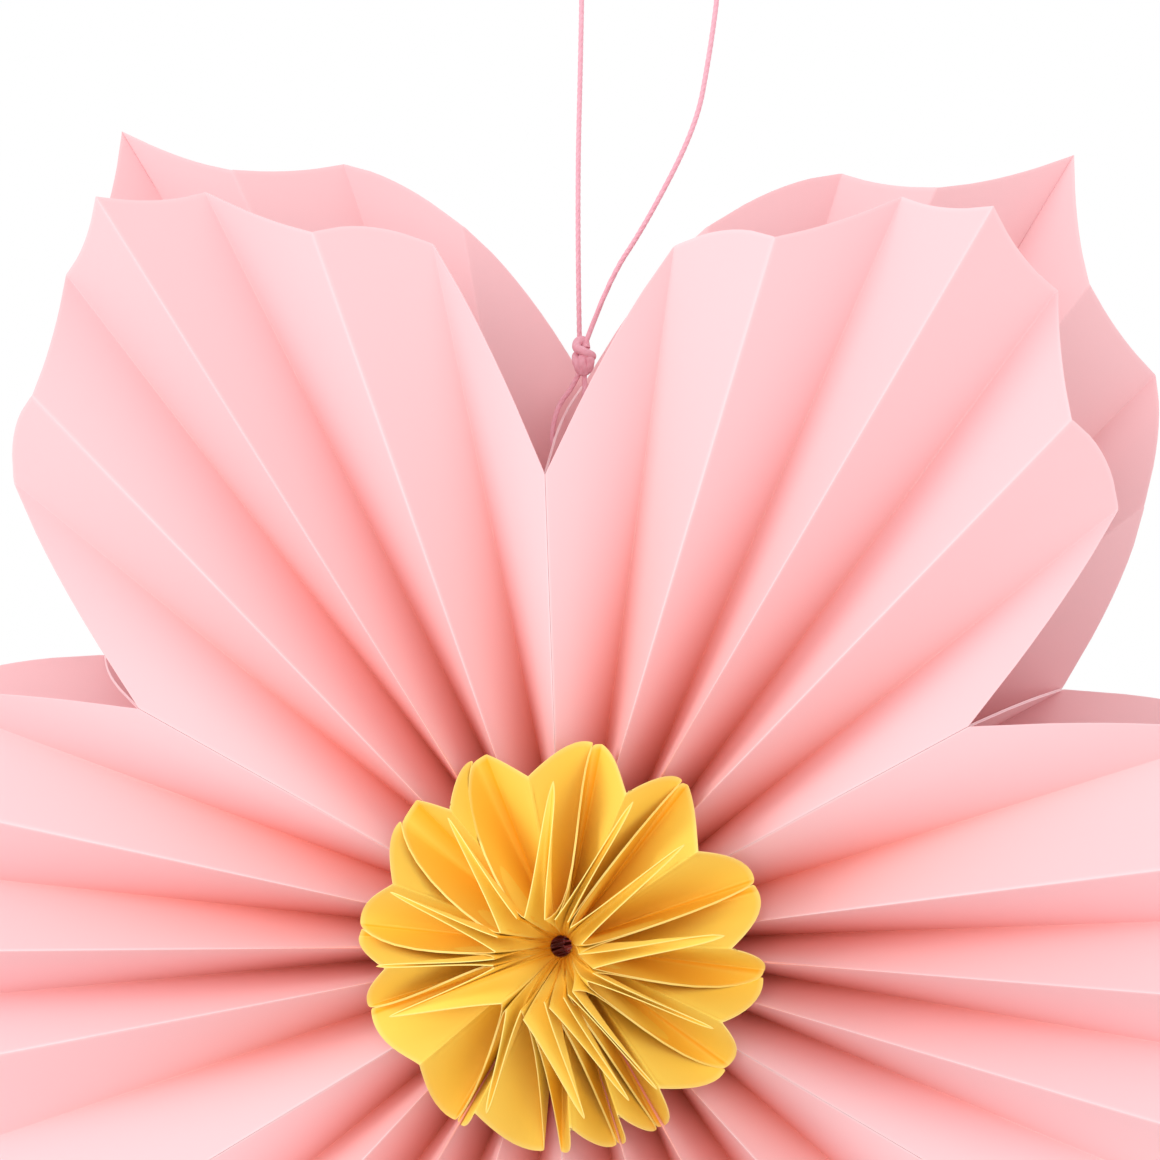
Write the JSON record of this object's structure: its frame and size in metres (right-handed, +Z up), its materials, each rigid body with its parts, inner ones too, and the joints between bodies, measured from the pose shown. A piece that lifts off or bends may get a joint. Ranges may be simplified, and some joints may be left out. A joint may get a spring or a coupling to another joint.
{
  "type": "paper flower",
  "caption": "Hanging pleated paper flower: wide open petal pockets with fan folds round a cupped yellow centre, hung from a looped and knotted cord.",
  "frame": {"origin": "middle of the flower's box without the cord, on the hub axis", "axes": "the flower faces -Y along its hub axis, +Z is up towards the cord, +X is to the right seen from the front"},
  "size_m": [0.4046, 0.1028, 0.4334],
  "materials": {
    "pink_paper": "smooth matt coloured paper",
    "yellow_paper": "smooth matt coloured paper",
    "pink_cord": "twisted cord"
  },
  "bodies": {
    "root": {"petal_1": "pink_paper", "petal_2": "pink_paper", "petal_3": "pink_paper", "petal_4": "pink_paper", "petal_5": "pink_paper", "petal_6": "pink_paper", "centre_petal_01": "yellow_paper", "centre_petal_02": "yellow_paper", "centre_petal_03": "yellow_paper", "centre_petal_04": "yellow_paper", "centre_petal_05": "yellow_paper", "centre_petal_06": "yellow_paper", "centre_petal_07": "yellow_paper", "centre_petal_08": "yellow_paper", "centre_petal_09": "yellow_paper", "centre_petal_10": "yellow_paper", "centre_petal_11": "yellow_paper", "centre_petal_12": "yellow_paper", "centre_petal_13": "yellow_paper", "hanging_cord": "pink_cord", "cord_knot": "pink_cord", "tie_loop": "pink_cord"}
  },
  "joints": []
}
